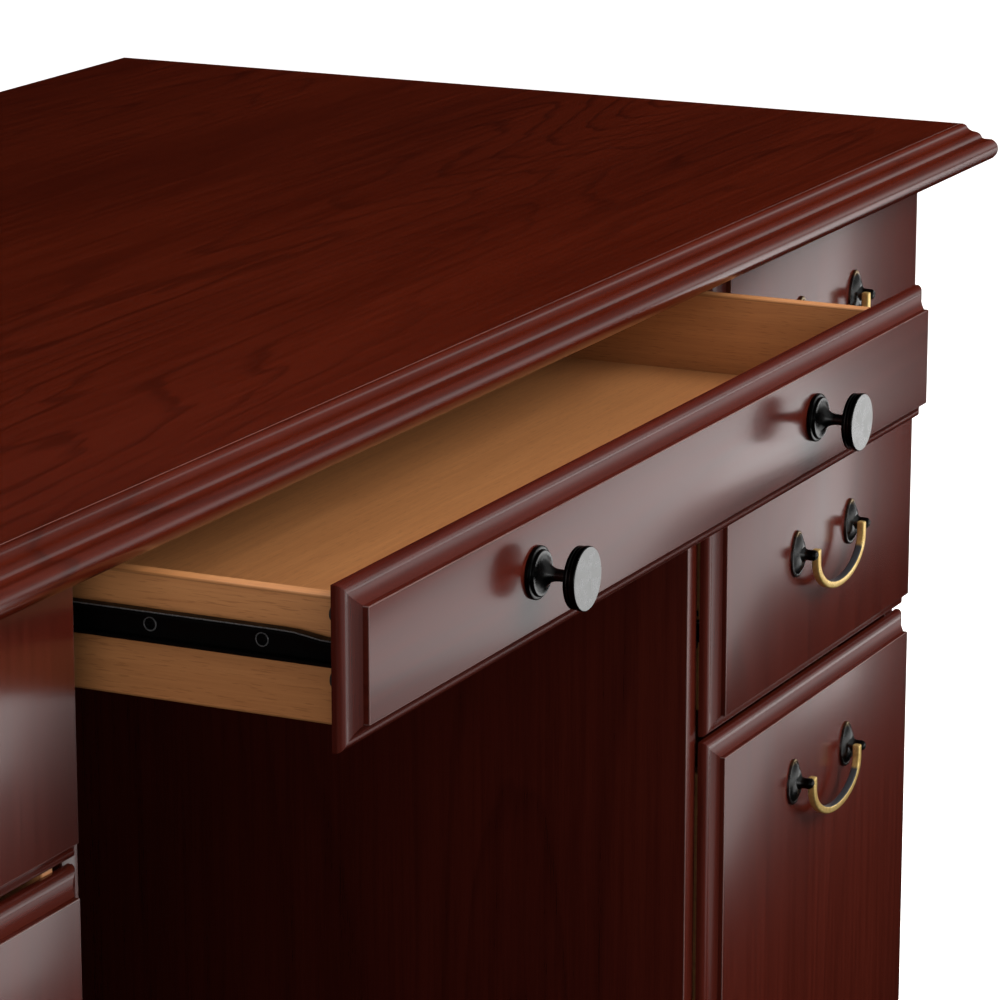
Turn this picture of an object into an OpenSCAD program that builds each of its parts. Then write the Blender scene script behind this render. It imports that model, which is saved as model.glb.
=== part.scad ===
// Double-pedestal executive desk with a shallow centre drawer over the kneehole.
// +Z is up and the fronts face -Y. The origin is on the floor, in the middle of
// the box around the desk with its centre drawer standing open as modelled.

/* [Desk] */
// Overall width of the top, nose to nose
desk_w = 1676.4; // [1600:0.1:1800]
// Overall depth of the top, nose to nose
desk_d = 762; // [720:1:840]
// Height of the top surface above the floor
desk_h = 762; // [750:1:780]
// Clear width of the kneehole between the inner side panels
kneehole_w = 803; // [760:1:840]
// Thickness of the top and its edge moulding
top_t = 27.7; // [26:0.1:32]
// How far the moulding's nose stands out past the flat of the top
nose = 22; // [21.9:0.1:22.1]
// How far the nose stands out past the carcass at the sides and the back
overhang = 44.8; // [35:0.1:60]
// How far the drawer faces sit behind the front nose
face_setback = 41.7; // [36:0.1:50]

/* [Carcass] */
// Thickness of the carcass panels
panel_t = 16; // [15:0.5:19]
// Thickness of the pedestal backs
back_t = 12; // [9:1:16]
// Height of the glides under the side panels
glide_h = 6; // [4:1:10]
// Height of the underside of the pedestal bottoms above the floor
bottom_z = 60; // [50:1:61]
// How far the plinth rails sit behind the side panels' front edges
plinth_setback = 40; // [20:1:60]
// Height of the kneehole back's lower edge above the floor
kneehole_back_z = 150; // [60:1:300]
// Front-to-back width of the rails under the top
rail_w = 80; // [60:1:100]

/* [Drawer fronts] */
// Thickness of a drawer front at its raised field
front_t = 15; // [14.5:0.1:16]
// Width of the moulded edge around the raised field
edge_w = 13.2; // [13.2:0.1:14]
// Gap between the backs of the closed fronts and the carcass
front_gap = 2.5; // [1.5:0.1:3]
// Gap between the underside of the top and the pedestals' upper fronts
head_gap = 6.1; // [5:0.1:8]
// Gap between one front and the next below it
row_gap = 4.2; // [3:0.1:5]
// Height of the top and middle drawer fronts
box_front_h = 165.4; // [160:0.1:166]
// Height of the file drawer fronts
file_front_h = 323; // [300:1:324]
// How much of the inner side panel's front edge the pedestal fronts leave bare
bare_edge = 14.4; // [13:0.1:15]

/* [Centre drawer] */
// How far the centre drawer stands open as modelled
rest_open = 153.8; // [60:0.1:160]
// Height of the centre drawer front
centre_front_h = 88.4; // [84:0.1:92]
// How far the centre drawer front laps each inner side panel
centre_lap = 8.1; // [7:0.1:8.5]
// Gap between the underside of the top and the centre drawer front
centre_head_gap = 7.6; // [6:0.1:9]
// Height of the centre drawer's box
centre_box_h = 68.1; // [64:0.1:70]
// Front-to-back length of the centre drawer's box
centre_box_l = 400; // [360:1:450]
// Distance between the two knobs
knob_gap = 402.2; // [300:0.1:500]
// Diameter of a knob's disc
knob_d = 35.8; // [32:0.1:38]
// How far a knob stands out of the drawer front
knob_l = 31; // [29:0.5:33]

/* [Pedestal drawers] */
// Front-to-back length of the pedestal drawer boxes
box_l = 450; // [400:1:500]
// Thickness of the drawer sides and backs
side_t = 12; // [10:0.5:15]
// Glue line left between the boards of a drawer box
glue = 0.1; // [0.05:0.05:0.2]
// Thickness of the drawer bottoms
bottom_t = 5; // [4:0.5:6]
// Height of a drawer bottom's underside above the drawer side's lower edge
bottom_lift = 10.8; // [8:0.1:12]
// Gap on each side between a drawer box and the panels, filled by the runners
runner_gap = 12.6; // [12.6:0.1:13.5]
// Height of each box's top edge above its front's top edge: top, middle, file
box_rise = [-22, 3, -27];
// Height of a box's lower edge above its front's lower edge
box_lift = 14; // [13:1:18]

/* [Pulls] */
// Distance between the two posts of a bail pull
post_gap = 101.6; // [100:0.1:104]
// Distance from a front's top edge down to the bail's pivots
pull_drop = 66.2; // [60:0.1:80]
// Distance from the face of a front out to the bail's pivots
pivot_out = 12.4; // [12:0.1:14]
// How far a hanging bail reaches below its pivots
bail_drop = 34.3; // [30:0.1:36]
// Thickness of the bail's square bar
bail_t = 5.6; // [4:0.1:6]

/* [Hidden] */
$fn = 48;

// Centre drawer: its box below its front's top edge, its runners below its box's top
// edge, its knobs above the front's middle, and its rubber bumpers
centre_box_drop = 12.9;
centre_runner_drop = 26.8;
knob_rise = 1;
bumper_r = 4.2;
bumper_in = 2.6;
bumper_zs = [-7.5, 27];
bumper_play = 0.4;

SIDES = ["left", "right"];
TIERS = ["top", "middle", "file"];
PIECES = ["drawer_front", "drawer_box", "drawer_bottom", "runners", "pull_plates", "bail"];
CARCASS = ["desktop_panel", "moulding_front_back", "moulding_ends", "left_outer_side",
           "left_inner_side", "right_inner_side", "right_outer_side", "pedestal_backs",
           "kneehole_back", "pedestal_bottoms", "plinth_rails", "top_rails",
           "cabinet_runners", "floor_glides", "cam_locks", "top_screws"];
CENTRE = ["centre_drawer_front", "centre_drawer_left_side", "centre_drawer_right_side",
          "centre_drawer_back", "centre_drawer_bottom", "centre_runners", "centre_knobs",
          "centre_bumpers"];

CHERRY = [0.29, 0.09, 0.05];
CHERRY_DARK = [0.22, 0.06, 0.04];
BEECH = [0.78, 0.55, 0.33];
BLACK = [0.07, 0.07, 0.07];
BRASS = [0.72, 0.56, 0.28];
STEEL = [0.6, 0.6, 0.6];

// Heights
under_top = desk_h - top_t;
front_h = [box_front_h, box_front_h, file_front_h];
front_top = [under_top - head_gap,
             under_top - head_gap - box_front_h - row_gap,
             under_top - head_gap - 2 * (box_front_h + row_gap)];
centre_front_top = under_top - centre_head_gap;
centre_box_top = centre_front_top - centre_box_drop;
centre_runner_z = centre_box_top - centre_runner_drop;
knob_z = centre_front_top - centre_front_h / 2 + knob_rise;

// Front to back
knob_reach = rest_open + knob_l - face_setback;
nose_y = (knob_reach - desk_d) / 2;
face_y = nose_y + face_setback;
front_back_y = face_y + front_t;
carcass_y = front_back_y + front_gap;
carcass_back_y = nose_y + desk_d - overhang;
centre_back_y = front_back_y - rest_open;

// Side to side
carcass_x = desk_w / 2 - overhang;
knee_x = kneehole_w / 2;
bay_in = knee_x + panel_t;
bay_out = carcass_x - panel_t;
bay_w = bay_out - bay_in;
bay_x = (bay_in + bay_out) / 2;
front_in = knee_x + bare_edge;
front_w = carcass_x - front_in;
front_x = (front_in + carcass_x) / 2;
box_w = bay_w - 2 * runner_gap;
centre_box_w = kneehole_w - 2 * runner_gap;

// Runners: a channel on the cabinet and a narrower one inside it on the drawer
runner_l = 350;
runner_t = 1.5;
cabinet_runner_h = 27;
drawer_runner_h = 17.2;
flange_gap = 0.6;
runner_rise = 60;
drawer_flange = 8.4;
cabinet_flange = runner_gap - 3.2;
runner_back = 2;
cabinet_runner_back = 3;
centre_cabinet_runner_back = 20;
drawer_screw_ys = [48, 114, 300];
drawer_screw_r = 2.9;

// Fastenings
cam_in = 24;
cam_back = 90;
top_screw_in = 90;
glide_back = 30;
rail_back = 2;
cam_r = 7.5;
cam_depth = 12;
proud = 0.4;
screw_head_r = 4.5;
screw_shank_r = 2.2;
glide_r = 12;

// Pull and knob details
plate_w = 22;
plate_h = 34;
plate_t = 2.4;
post_r = 3.2;
knuckle_r = 4.4;
pin_r = 1.9;
pin_play = 0.06;
leg_x = post_gap / 2 - knuckle_r - 0.3 - bail_t / 2;

function unit(a) = [cos(a), sin(a)];

// Points from a up to but not including b, along an arc that turns by `turn` degrees.
function bend(a, b, turn, n = 6) =
    let (c = b - a,
         r = norm(c) / 2 / sin(turn / 2),
         start = atan2(c[1], c[0]) - turn / 2)
    [for (i = [0:n - 1]) a + 2 * r * sin(turn * i / n / 2) * unit(start + turn * i / n / 2)];

// Edge of a drawer front: [inset from the outer edge, height above the back face].
// A thin lip, a rounded shoulder, a cove, and a step up to the raised field.
ogee = concat([[0, 0]],
              bend([0, 2.4], [4.6, 6.5], -75),
              bend([4.9, 6.5], [12.6, 11.4], 30),
              [[12.6, 11.4], [edge_w, front_t]]);

// Edge of the top: [distance out from the flat, depth below the surface].
// Two small beads with a hollow between them, a cove, and a bull nose.
top_edge = concat([[0, top_t]],
                  bend([0, 0], [3.8, 3.3], 70),
                  bend([3.8, 3.3], [8.4, 6.9], -50),
                  bend([8.4, 6.9], [12.3, 11.7], 60),
                  bend([12.3, 11.7], [nose - 4.2, 13.4], -45),
                  bend([nose - 4.2, 13.4], [nose - 2.7, top_t], 100, 10),
                  [[nose - 2.7, top_t]]);

// ---- shared shapes

// A box given by its lowest and highest corners.
module block(low, high) {
    translate(low) cube(high - low);
}

// The same thing on the left and on the right.
module both_sides() {
    children();
    mirror([1, 0, 0]) children();
}

// Extrudes a [Y, Z] outline along X, centred.
module along_x(l) {
    rotate([90, 0, 90]) linear_extrude(l, center = true) children();
}

// One length of edge moulding, flat edge at Y = 0, nose towards -Y, mitred ends.
module moulding(flat_l) {
    intersection() {
        along_x(flat_l + 2 * nose) polygon([for (p = top_edge) [-p[0], -p[1]]]);
        translate([0, 0, -top_t])
            linear_extrude(top_t)
                polygon([[-flat_l / 2, 0], [flat_l / 2, 0],
                         [flat_l / 2 + nose, -nose], [-flat_l / 2 - nose, -nose]]);
    }
}

// The cross-section of a drawer front, `size` across, face towards -Y.
function front_section(size) =
    concat([for (p = ogee) [p[0] - size / 2, -p[1]]],
           [for (i = [len(ogee) - 1:-1:0]) [size / 2 - ogee[i][0], -ogee[i][1]]]);

// A raised and moulded drawer front, centred on X and Z, back face at Y = 0.
module raised_front(w, h) {
    intersection() {
        linear_extrude(h, center = true) polygon(front_section(w));
        along_x(w) polygon([for (p = front_section(h)) [p[1], p[0]]]);
    }
}

// Sides and back of a drawer box that starts at Y = 0 and is centred on X.
module box_boards(w, l, low_z, high_z) {
    both_sides() block([w / 2 - side_t, glue, low_z], [w / 2, l, high_z]);
    block([side_t + glue - w / 2, l - side_t, low_z], [w / 2 - side_t - glue, l, high_z]);
}

// Drawer bottom, resting between the boards.
module box_floor(w, l, low_z) {
    block([side_t + glue - w / 2, glue, low_z + bottom_lift],
          [w / 2 - side_t - glue, l - side_t - glue, low_z + bottom_lift + bottom_t]);
}

// A pair of drawer runners on the outside of a box `w` wide, with their screws.
module drawer_runner_pair(w, z) {
    half = drawer_runner_h / 2;
    both_sides() translate([w / 2, runner_back, z]) {
        block([0, 0, -half], [runner_t, runner_l, half]);
        block([0, 0, half - runner_t], [drawer_flange, runner_l, half]);
        block([0, 0, -half], [drawer_flange, runner_l, runner_t - half]);
        for (y = drawer_screw_ys)
            translate([runner_t - 0.1, y, 0]) rotate([0, 90, 0]) cylinder(r = drawer_screw_r, h = 1.1);
    }
}

// A pair of cabinet runners that face each other across an opening `w` wide and start
// `back` behind the carcass's front edges.
module cabinet_runner_pair(w, z, back) {
    half = cabinet_runner_h / 2;
    lip = drawer_runner_h / 2 + flange_gap;
    flange = cabinet_flange;
    both_sides() translate([w / 2, carcass_y + back, z]) {
        block([-runner_t, 0, -half], [0, runner_l, half]);
        for (up = [0, 1]) mirror([0, 0, up]) {
            block([-flange, 0, half - runner_t], [0, runner_l, half]);
            block([-flange, 0, lip], [runner_t - flange, runner_l, half]);
        }
    }
}

// One of a pull's backplates with its post and knuckle, drilled for the bail's pin.
module pull_post() {
    outline = [for (a = [0:9:351]) [plate_w / 2 * cos(a) * (1 - 0.22 * sin(a)), plate_h / 2 * sin(a)]];
    difference() {
        union() {
            rotate([90, 0, 0]) linear_extrude(plate_t) polygon(outline);
            rotate([90, 0, 0]) cylinder(r1 = 8.2, r2 = post_r, h = plate_t + 2.6);
            rotate([90, 0, 0]) cylinder(r = post_r, h = pivot_out);
            translate([0, -pivot_out, 0]) sphere(r = knuckle_r);
        }
        translate([-knuckle_r - 1, -pivot_out, 0])
            rotate([0, 90, 0]) cylinder(r = pin_r + pin_play, h = knuckle_r + 1);
    }
}

// A hanging bail: a square bar bent to a half ellipse, with a pin at the top of each leg.
module bail_bar() {
    leg = 6;
    out_x = leg_x + bail_t / 2;
    in_x = leg_x - bail_t / 2;
    translate([0, bail_t / 2, 0]) rotate([90, 0, 0]) linear_extrude(bail_t) {
        polygon(concat([for (a = [0:6:180]) [out_x * cos(a), -leg - (bail_drop - leg) * sin(a)]],
                       [for (a = [180:-6:0]) [in_x * cos(a), -leg - (bail_drop - bail_t - leg) * sin(a)]]));
        for (x = [-leg_x, leg_x]) {
            translate([x - bail_t / 2, -leg]) square([bail_t, leg]);
            translate([x, 0]) circle(d = bail_t);
        }
    }
    both_sides() translate([leg_x, 0, 0]) rotate([0, 90, 0]) cylinder(r = pin_r, h = post_gap / 2 - leg_x - 0.6);
}

// ---- top and carcass

module desktop_panel() {
    color(CHERRY)
        block([nose - desk_w / 2, nose_y + nose, under_top],
              [desk_w / 2 - nose, nose_y + desk_d - nose, desk_h]);
}

module moulding_front_back() {
    color(CHERRY) translate([0, nose_y + desk_d / 2, desk_h])
        for (turn = [0, 180])
            rotate([0, 0, turn]) translate([0, nose - desk_d / 2, 0]) moulding(desk_w - 2 * nose);
}

module moulding_ends() {
    color(CHERRY) translate([0, nose_y + desk_d / 2, desk_h])
        for (turn = [90, 270])
            rotate([0, 0, turn]) translate([0, nose - desk_w / 2, 0]) moulding(desk_d - 2 * nose);
}

// A full-height side panel whose face nearest the middle of the desk is at x.
module side_panel(x) {
    color(CHERRY) block([x, carcass_y, glide_h], [x + panel_t, carcass_back_y, under_top]);
}

module left_outer_side() {
    mirror([1, 0, 0]) side_panel(bay_out);
}

module left_inner_side() {
    mirror([1, 0, 0]) side_panel(knee_x);
}

module right_inner_side() {
    side_panel(knee_x);
}

module right_outer_side() {
    side_panel(bay_out);
}

module pedestal_backs() {
    color(CHERRY_DARK)
        both_sides() block([bay_in, carcass_back_y - back_t, glide_h], [bay_out, carcass_back_y, under_top]);
}

module kneehole_back() {
    color(CHERRY_DARK)
        block([-knee_x, carcass_back_y - panel_t, kneehole_back_z], [knee_x, carcass_back_y, under_top]);
}

module pedestal_bottoms() {
    color(CHERRY_DARK)
        both_sides() block([bay_in, carcass_y, bottom_z],
                           [bay_out, carcass_back_y - back_t, bottom_z + panel_t]);
}

module plinth_rails() {
    color(CHERRY_DARK)
        both_sides() block([bay_in, carcass_y + plinth_setback, glide_h],
                           [bay_out, carcass_y + plinth_setback + panel_t, bottom_z]);
}

// Where the rails under the top start: one behind the fronts and one at the back.
rail_ys = [carcass_y + rail_back, carcass_back_y - back_t - rail_w];

module top_rails() {
    color(BEECH)
        both_sides() for (y = rail_ys)
            block([bay_in, y, under_top - panel_t], [bay_out, y + rail_w, under_top]);
}

module cabinet_runners() {
    color(BLACK) {
        cabinet_runner_pair(kneehole_w, centre_runner_z, centre_cabinet_runner_back);
        both_sides() translate([bay_x, 0, 0])
            for (tier = [0:2]) cabinet_runner_pair(bay_w, runner_z(tier), cabinet_runner_back);
    }
}

module floor_glides() {
    color(BLACK)
        both_sides() for (x = [knee_x, bay_out], y = [carcass_y + glide_back, carcass_back_y - glide_back])
            translate([x + panel_t / 2, y, 0]) intersection() {
                cylinder(r = glide_r, h = glide_h);
                translate([-panel_t / 2, -glide_r, 0]) cube([panel_t, 2 * glide_r, glide_h]);
            }
}

// Cam locks pressed into the undersides of the top rails and the pedestal bottoms.
module cam_locks() {
    color(STEEL) both_sides() for (x = [bay_in + cam_in, bay_out - cam_in]) {
        for (y = rail_ys)
            translate([x, y + rail_w / 2, under_top - panel_t - proud]) cylinder(r = cam_r, h = cam_depth + proud);
        for (y = [carcass_y + cam_back, carcass_back_y - cam_back])
            translate([x, y, bottom_z - proud]) cylinder(r = cam_r, h = cam_depth + proud);
    }
}

// Screws that hold the top down from under its rails.
module top_screws() {
    color(STEEL) both_sides() for (x = [bay_x - top_screw_in, bay_x + top_screw_in], y = rail_ys)
        translate([x, y + rail_w / 2, under_top - panel_t - 2.5]) {
            cylinder(r = screw_head_r, h = 2.5);
            cylinder(r = screw_shank_r, h = 2.5 + panel_t + 12);
        }
}

// ---- centre drawer, standing open by rest_open

module centre_drawer_front() {
    color(CHERRY) translate([0, centre_back_y, centre_front_top - centre_front_h / 2])
        raised_front(kneehole_w + 2 * centre_lap, centre_front_h);
}

module centre_side() {
    color(BEECH) block([centre_box_w / 2 - side_t, centre_back_y + glue, centre_box_top - centre_box_h],
                       [centre_box_w / 2, centre_back_y + centre_box_l, centre_box_top]);
}

module centre_drawer_left_side() {
    mirror([1, 0, 0]) centre_side();
}

module centre_drawer_right_side() {
    centre_side();
}

module centre_drawer_back() {
    color(BEECH) block([side_t + glue - centre_box_w / 2, centre_back_y + centre_box_l - side_t,
                        centre_box_top - centre_box_h],
                       [centre_box_w / 2 - side_t - glue, centre_back_y + centre_box_l, centre_box_top]);
}

module centre_drawer_bottom() {
    color(BEECH) translate([0, centre_back_y, 0])
        box_floor(centre_box_w, centre_box_l, centre_box_top - centre_box_h);
}

module centre_runners() {
    color(BLACK) translate([0, centre_back_y, 0]) drawer_runner_pair(centre_box_w, centre_runner_z);
}

// Knob turned about its own axis: stepped rosette, slim neck, flat disc with a stepped rim.
module knob() {
    r = knob_d / 2;
    rotate([90, 0, 0]) rotate_extrude($fn = 72)
        polygon(concat([[0, 0], [15, 0], [15, 2], [13, 2.6], [12.6, 4]],
                       bend([11.6, 4.6], [3.5, 13], -55),
                       [[3.5, 13], [3.5, 21]],
                       bend([3.5, 21], [r - 2, 23.6], -50, 4),
                       [[r - 2, 23.6], [r - 0.6, 24.2], [r - 0.6, 26], [r, 26.2], [r, 29],
                        [r - 0.7, knob_l], [0, knob_l]]));
}

module centre_knobs() {
    color(BLACK) both_sides() translate([knob_gap / 2, centre_back_y - front_t, knob_z]) knob();
}

// Rubber dots on the back of the front that land on the side panels' edges.
module centre_bumpers() {
    color(BLACK) both_sides() for (z = bumper_zs)
        translate([knee_x + bumper_in, centre_back_y, knob_z + z])
            rotate([-90, 0, 0]) cylinder(r = bumper_r, h = front_gap - bumper_play);
}

// ---- pedestal drawers, closed

function side_sign(side) = side == "left" ? -1 : 1;
function box_bottom(tier) = front_top[tier] - front_h[tier] + box_lift;
function box_top(tier) = front_top[tier] + box_rise[tier];
function runner_z(tier) = box_bottom(tier) + runner_rise;

// Moves its children to a pedestal drawer's front, box or pull.
module at_front(side, y, z) {
    translate([side_sign(side) * front_x, y, z]) children();
}

module at_box(side) {
    translate([side_sign(side) * bay_x, front_back_y, 0]) children();
}

module drawer_front(side, tier) {
    color(CHERRY) at_front(side, front_back_y, front_top[tier] - front_h[tier] / 2)
        raised_front(front_w, front_h[tier]);
}

module drawer_box(side, tier) {
    color(BEECH) at_box(side) box_boards(box_w, box_l, box_bottom(tier), box_top(tier));
}

module drawer_bottom(side, tier) {
    color(BEECH) at_box(side) box_floor(box_w, box_l, box_bottom(tier));
}

module runners(side, tier) {
    color(BLACK) at_box(side) drawer_runner_pair(box_w, runner_z(tier));
}

module pull_plates(side, tier) {
    color(BLACK) at_front(side, face_y, front_top[tier] - pull_drop)
        both_sides() translate([post_gap / 2, 0, 0]) pull_post();
}

module bail(side, tier) {
    color(BRASS) at_front(side, face_y - pivot_out, front_top[tier] - pull_drop) bail_bar();
}

// ---- what is drawn

desktop_panel();
moulding_front_back();
moulding_ends();
left_outer_side();
left_inner_side();
right_inner_side();
right_outer_side();
pedestal_backs();
kneehole_back();
pedestal_bottoms();
plinth_rails();
top_rails();
cabinet_runners();
floor_glides();
cam_locks();
top_screws();
centre_drawer_front();
centre_drawer_left_side();
centre_drawer_right_side();
centre_drawer_back();
centre_drawer_bottom();
centre_runners();
centre_knobs();
centre_bumpers();
for (side = SIDES, tier = [0:2]) {
    name = str(side, "_", TIERS[tier], "_");
    drawer_front(side, tier);
    drawer_box(side, tier);
    drawer_bottom(side, tier);
    runners(side, tier);
    pull_plates(side, tier);
    bail(side, tier);
}
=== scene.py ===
"""An executive pedestal desk in dark cherry, with its shallow centre drawer standing open.

Lengths in this script are millimetres until a piece is made, and metres after that.
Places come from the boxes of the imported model's nodes.
"""

import math

import bmesh
import bpy
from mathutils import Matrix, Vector


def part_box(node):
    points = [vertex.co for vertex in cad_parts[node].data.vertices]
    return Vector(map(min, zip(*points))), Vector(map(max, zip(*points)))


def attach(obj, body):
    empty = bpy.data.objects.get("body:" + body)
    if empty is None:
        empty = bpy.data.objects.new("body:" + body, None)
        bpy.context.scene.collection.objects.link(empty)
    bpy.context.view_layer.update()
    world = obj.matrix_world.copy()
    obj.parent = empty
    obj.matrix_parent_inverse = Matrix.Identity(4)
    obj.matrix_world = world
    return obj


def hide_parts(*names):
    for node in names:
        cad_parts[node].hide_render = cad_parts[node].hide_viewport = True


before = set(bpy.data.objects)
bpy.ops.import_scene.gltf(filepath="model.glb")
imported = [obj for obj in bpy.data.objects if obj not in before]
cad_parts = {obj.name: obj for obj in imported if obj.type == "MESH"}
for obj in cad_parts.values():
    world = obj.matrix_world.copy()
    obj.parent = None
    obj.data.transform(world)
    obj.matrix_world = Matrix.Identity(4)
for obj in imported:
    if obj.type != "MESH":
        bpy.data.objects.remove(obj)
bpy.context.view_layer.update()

MM = 0.001
X = Vector((1, 0, 0))
Y = Vector((0, 1, 0))
Z = Vector((0, 0, 1))

# ---- sizes of details, in mm

MITRE_GAP = 0.06
BOARD_EASE = 1.4
PANEL_EASE = 0.7
TOP_EASE = 0.6
FIELD_EASE = 0.55
FIELD_UNDER = 0.35
FIELD_BACK = 0.2
BOTTOM_EASE = 0.4
BACK_DROP = 0.3
EDGE_W = 13.2
FRONT_T = 15.0
TOP_T = 27.7
NOSE = 22.0
SIDE_T = 12.0
GLUE = 0.1
RAIL_W = 80.0
POST_GAP = 101.6
PULL_DROP = 66.2
PIVOT_OUT = 12.4
PLATE_W = 22.0
PLATE_H = 34.0
PLATE_TIP = 9.5
TIP_FADE = 6.0
POST_R = 3.9
KNUCKLE_R = 3.5
PIN_R = 1.9
PIN_END = 0.7
BAIL_T = 5.6
BAIL_DROP = 34.3
BAIL_LEG = 6.0
LEG_INSET = 4.7
LEG_X = POST_GAP / 2 - LEG_INSET - BAIL_T / 2
KNOB_GAP = 402.2
KNOB_R = 17.9
KNOB_L = 31.0
RUNNER_T = 1.5
RUNNER_L = 350.0
DRAWER_SCREW_YS = (48, 114, 300)
CABINET_SCREW_YS = (28, 160, 310)
DRAWER_CHANNEL = 8.4
CABINET_CHANNEL = 9.4
CABINET_CHANNEL_HALF = 13.5
DRAWER_LIP = 2.3
CABINET_LIP = 4.3
CHANNEL_BEND = 1.2
SCREW_SINK = 0.1
HIGHLIGHT_LINE_R = 0.38
CAM_R = 7.5
CAM_IN = 24.0
CAM_BACK = 90.0
CAM_LIP = 0.4
SCREW_R = 4.5
TOP_SCREW_IN = 90.0
GLIDE_R = 12.0
BUMPER_R = 4.2

SIDES = ("left", "right")
TIERS = ("top", "middle", "file")


# ---- outlines

def bend(a, b, turn, count=10):
    """Points from a up to but not including b, along an arc that turns by `turn` degrees."""
    across = Vector(b) - Vector(a)
    half = math.radians(turn) / 2
    radius = across.length / 2 / math.sin(half)
    start = math.atan2(across.y, across.x) - half
    points = []
    for i in range(count):
        part = half * i / count
        reach = 2 * radius * math.sin(part)
        points.append((a[0] + reach * math.cos(start + part), a[1] + reach * math.sin(start + part)))
    return points


def top_edge():
    """Edge of the top: (distance out from the flat, height above the flat)."""
    curve = [(0, TOP_T)]
    curve += bend((0, 0.12), (3.8, 3.3), 70)
    curve += bend((3.8, 3.3), (8.4, 6.9), -50)
    curve += bend((8.4, 6.9), (12.3, 11.7), 60)
    curve += bend((12.3, 11.7), (NOSE - 4.2, 13.4), -45)
    curve += bend((NOSE - 4.2, 13.4), (NOSE - 2.7, TOP_T - 0.5), 100, 18)
    curve += [(NOSE - 2.7, TOP_T - 0.5), (NOSE - 3.2, TOP_T)]
    return [(out, -down) for out, down in curve]


def front_edge():
    """Moulded edge of a drawer front: (distance out, so below zero, height above the back face)."""
    curve = [(0, 0), (0, 2.4)]
    curve += bend((0, 2.4), (4.6, 6.5), -75)[1:]
    curve += bend((4.9, 6.5), (12.6, 11.4), 30)
    curve += [(12.6, 11.4), (EDGE_W - 0.5, 11.5), (EDGE_W - 0.5, 0)]
    return [(-inset, rise) for inset, rise in curve]


def fillet(points, radius, count=5):
    """The open path through points, with its corners rounded."""
    points = [Vector(p) for p in points]
    path = [points[0]]
    for before, corner, after in zip(points, points[1:], points[2:]):
        into = (corner - before).normalized()
        out = (after - corner).normalized()
        turn = math.degrees(math.atan2(into.cross(out), into.dot(out)))
        cut = radius * math.tan(math.radians(abs(turn)) / 2)
        path += [Vector(p) for p in bend(corner - into * cut, corner + out * cut, turn, count)]
        path.append(corner + out * cut)
    path.append(points[-1])
    return path


def ribbon(path, thick):
    """The closed outline of a strip of sheet metal whose middle follows path."""
    left, right = [], []
    for i, point in enumerate(path):
        along = (path[min(i + 1, len(path) - 1)] - path[max(i - 1, 0)]).normalized()
        across = Vector((-along.y, along.x)) * thick / 2
        left.append(point + across)
        right.append(point - across)
    return left + right[::-1]


def circle(radius, count):
    return [(radius * math.cos(math.tau * i / count), radius * math.sin(math.tau * i / count))
            for i in range(count)]


def soft_square(size, corner, count=5):
    """The closed outline of a square with round corners."""
    half = size / 2
    outline = []
    for x, y in ((1, 1), (-1, 1), (-1, -1), (1, -1)):
        middle = Vector((x, y)) * (half - corner)
        start = math.atan2(y, x) - math.pi / 4
        for i in range(count + 1):
            angle = start + math.pi / 2 * i / count
            outline.append(middle + Vector((math.cos(angle), math.sin(angle))) * corner)
    return outline


# ---- solids

def loft(bm, rings, mat=0):
    """A closed solid through rings of points."""
    made = [[bm.verts.new(Vector(p) * MM) for p in ring] for ring in rings]
    faces = [bm.faces.new(made[0][::-1]), bm.faces.new(made[-1])]
    for low, high in zip(made, made[1:]):
        for i in range(len(low)):
            j = (i + 1) % len(low)
            faces.append(bm.faces.new((low[i], low[j], high[j], high[i])))
    for face in faces:
        face.material_index = mat
    return made


def board(bm, low, high, ease, mat=0, edge_mat=None, segments=3):
    """A rectangular board with eased edges."""
    corners = [bm.verts.new(Vector((x, y, z)) * MM)
               for x in (low[0], high[0]) for y in (low[1], high[1]) for z in (low[2], high[2])]
    sides = ((0, 1, 3, 2), (4, 6, 7, 5), (0, 4, 5, 1), (2, 3, 7, 6), (0, 2, 6, 4), (1, 5, 7, 3))
    faces = [bm.faces.new([corners[i] for i in side]) for side in sides]
    for face in faces:
        face.material_index = mat
    edges = {edge for face in faces for edge in face.edges}
    bmesh.ops.bevel(bm, geom=list(edges), offset=ease * MM, segments=segments, profile=0.5,
                    affect="EDGES", material=mat if edge_mat is None else edge_mat)


def lathe(bm, base, axis, profile, mat=0, count=64, rub=None, cap_mat=None):
    """A turned solid. profile is (radius, distance along axis from base) from one flat end to the other,
    rub is a value for each of its points, and cap_mat is the material of its last end."""
    side = axis.orthogonal().normalized()
    up = axis.cross(side)
    rings = [[base + axis * h + (side * math.cos(a) + up * math.sin(a)) * r
              for a in (math.tau * i / count for i in range(count))] for r, h in profile]
    made = loft(bm, rings, mat)
    if cap_mat is not None:
        cap = set(made[-1])
        for face in made[-1][0].link_faces:
            if set(face.verts) == cap:
                face.material_index = cap_mat
    if rub:
        layer = bm.verts.layers.float["rub"]
        for ring, value in zip(made, rub):
            for vert in ring:
                vert[layer] = value


def prism(bm, outline, place, start, end, mat=0):
    """outline pushed along from start to end. place(u, v, t) gives a point."""
    loft(bm, [[place(u, v, t) for u, v in outline] for t in (start, end)], mat)


def sweep(bm, path, radius, mat=0, count=10):
    """A round wire along path, which lies in one plane of constant X."""
    rings = []
    for i, point in enumerate(path):
        along = (path[min(i + 1, len(path) - 1)] - path[max(i - 1, 0)]).normalized()
        across = along.cross(X)
        rings.append([point + X * u + across * v for u, v in circle(radius, count)])
    loft(bm, rings, mat)


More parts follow.
